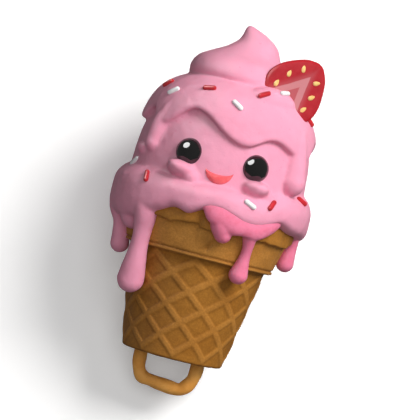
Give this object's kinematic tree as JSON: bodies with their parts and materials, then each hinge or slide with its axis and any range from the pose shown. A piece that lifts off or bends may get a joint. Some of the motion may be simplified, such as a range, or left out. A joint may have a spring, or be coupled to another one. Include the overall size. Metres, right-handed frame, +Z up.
{
  "type": "ice cream cone",
  "caption": "Strawberry ice cream lying on its back in a squat waffle cone with a biscuit loop, sauce, a strawberry slice, sugar strands and candy pearls.",
  "frame": {"origin": "centre of the bounding box at the height of the surface it lies on", "axes": "+Z up, away from the surface it lies on; +Y from the cone's foot towards the ice cream's tip; +X to the right, the strawberry slice's side"},
  "size_m": [0.0724, 0.1308, 0.0717],
  "materials": {
    "wafer": "matt baked wafer",
    "biscuit": "smooth baked biscuit",
    "strawberry_ice_cream": "soft satin, a little translucent",
    "strawberry_sauce": "wet gloss",
    "strawberry": "moist cut fruit",
    "black_candy": "polished",
    "red_jelly": "glossy jelly"
  },
  "bodies": {
    "root": {"wafer_cone": "wafer", "biscuit_loop": "biscuit", "ice_cream": "strawberry_ice_cream", "strawberry_sauce": "strawberry_sauce", "strawberry_slice": "strawberry", "candy_bead_left": "black_candy", "candy_bead_right": "black_candy", "jelly_crescent": "red_jelly"}
  },
  "joints": []
}
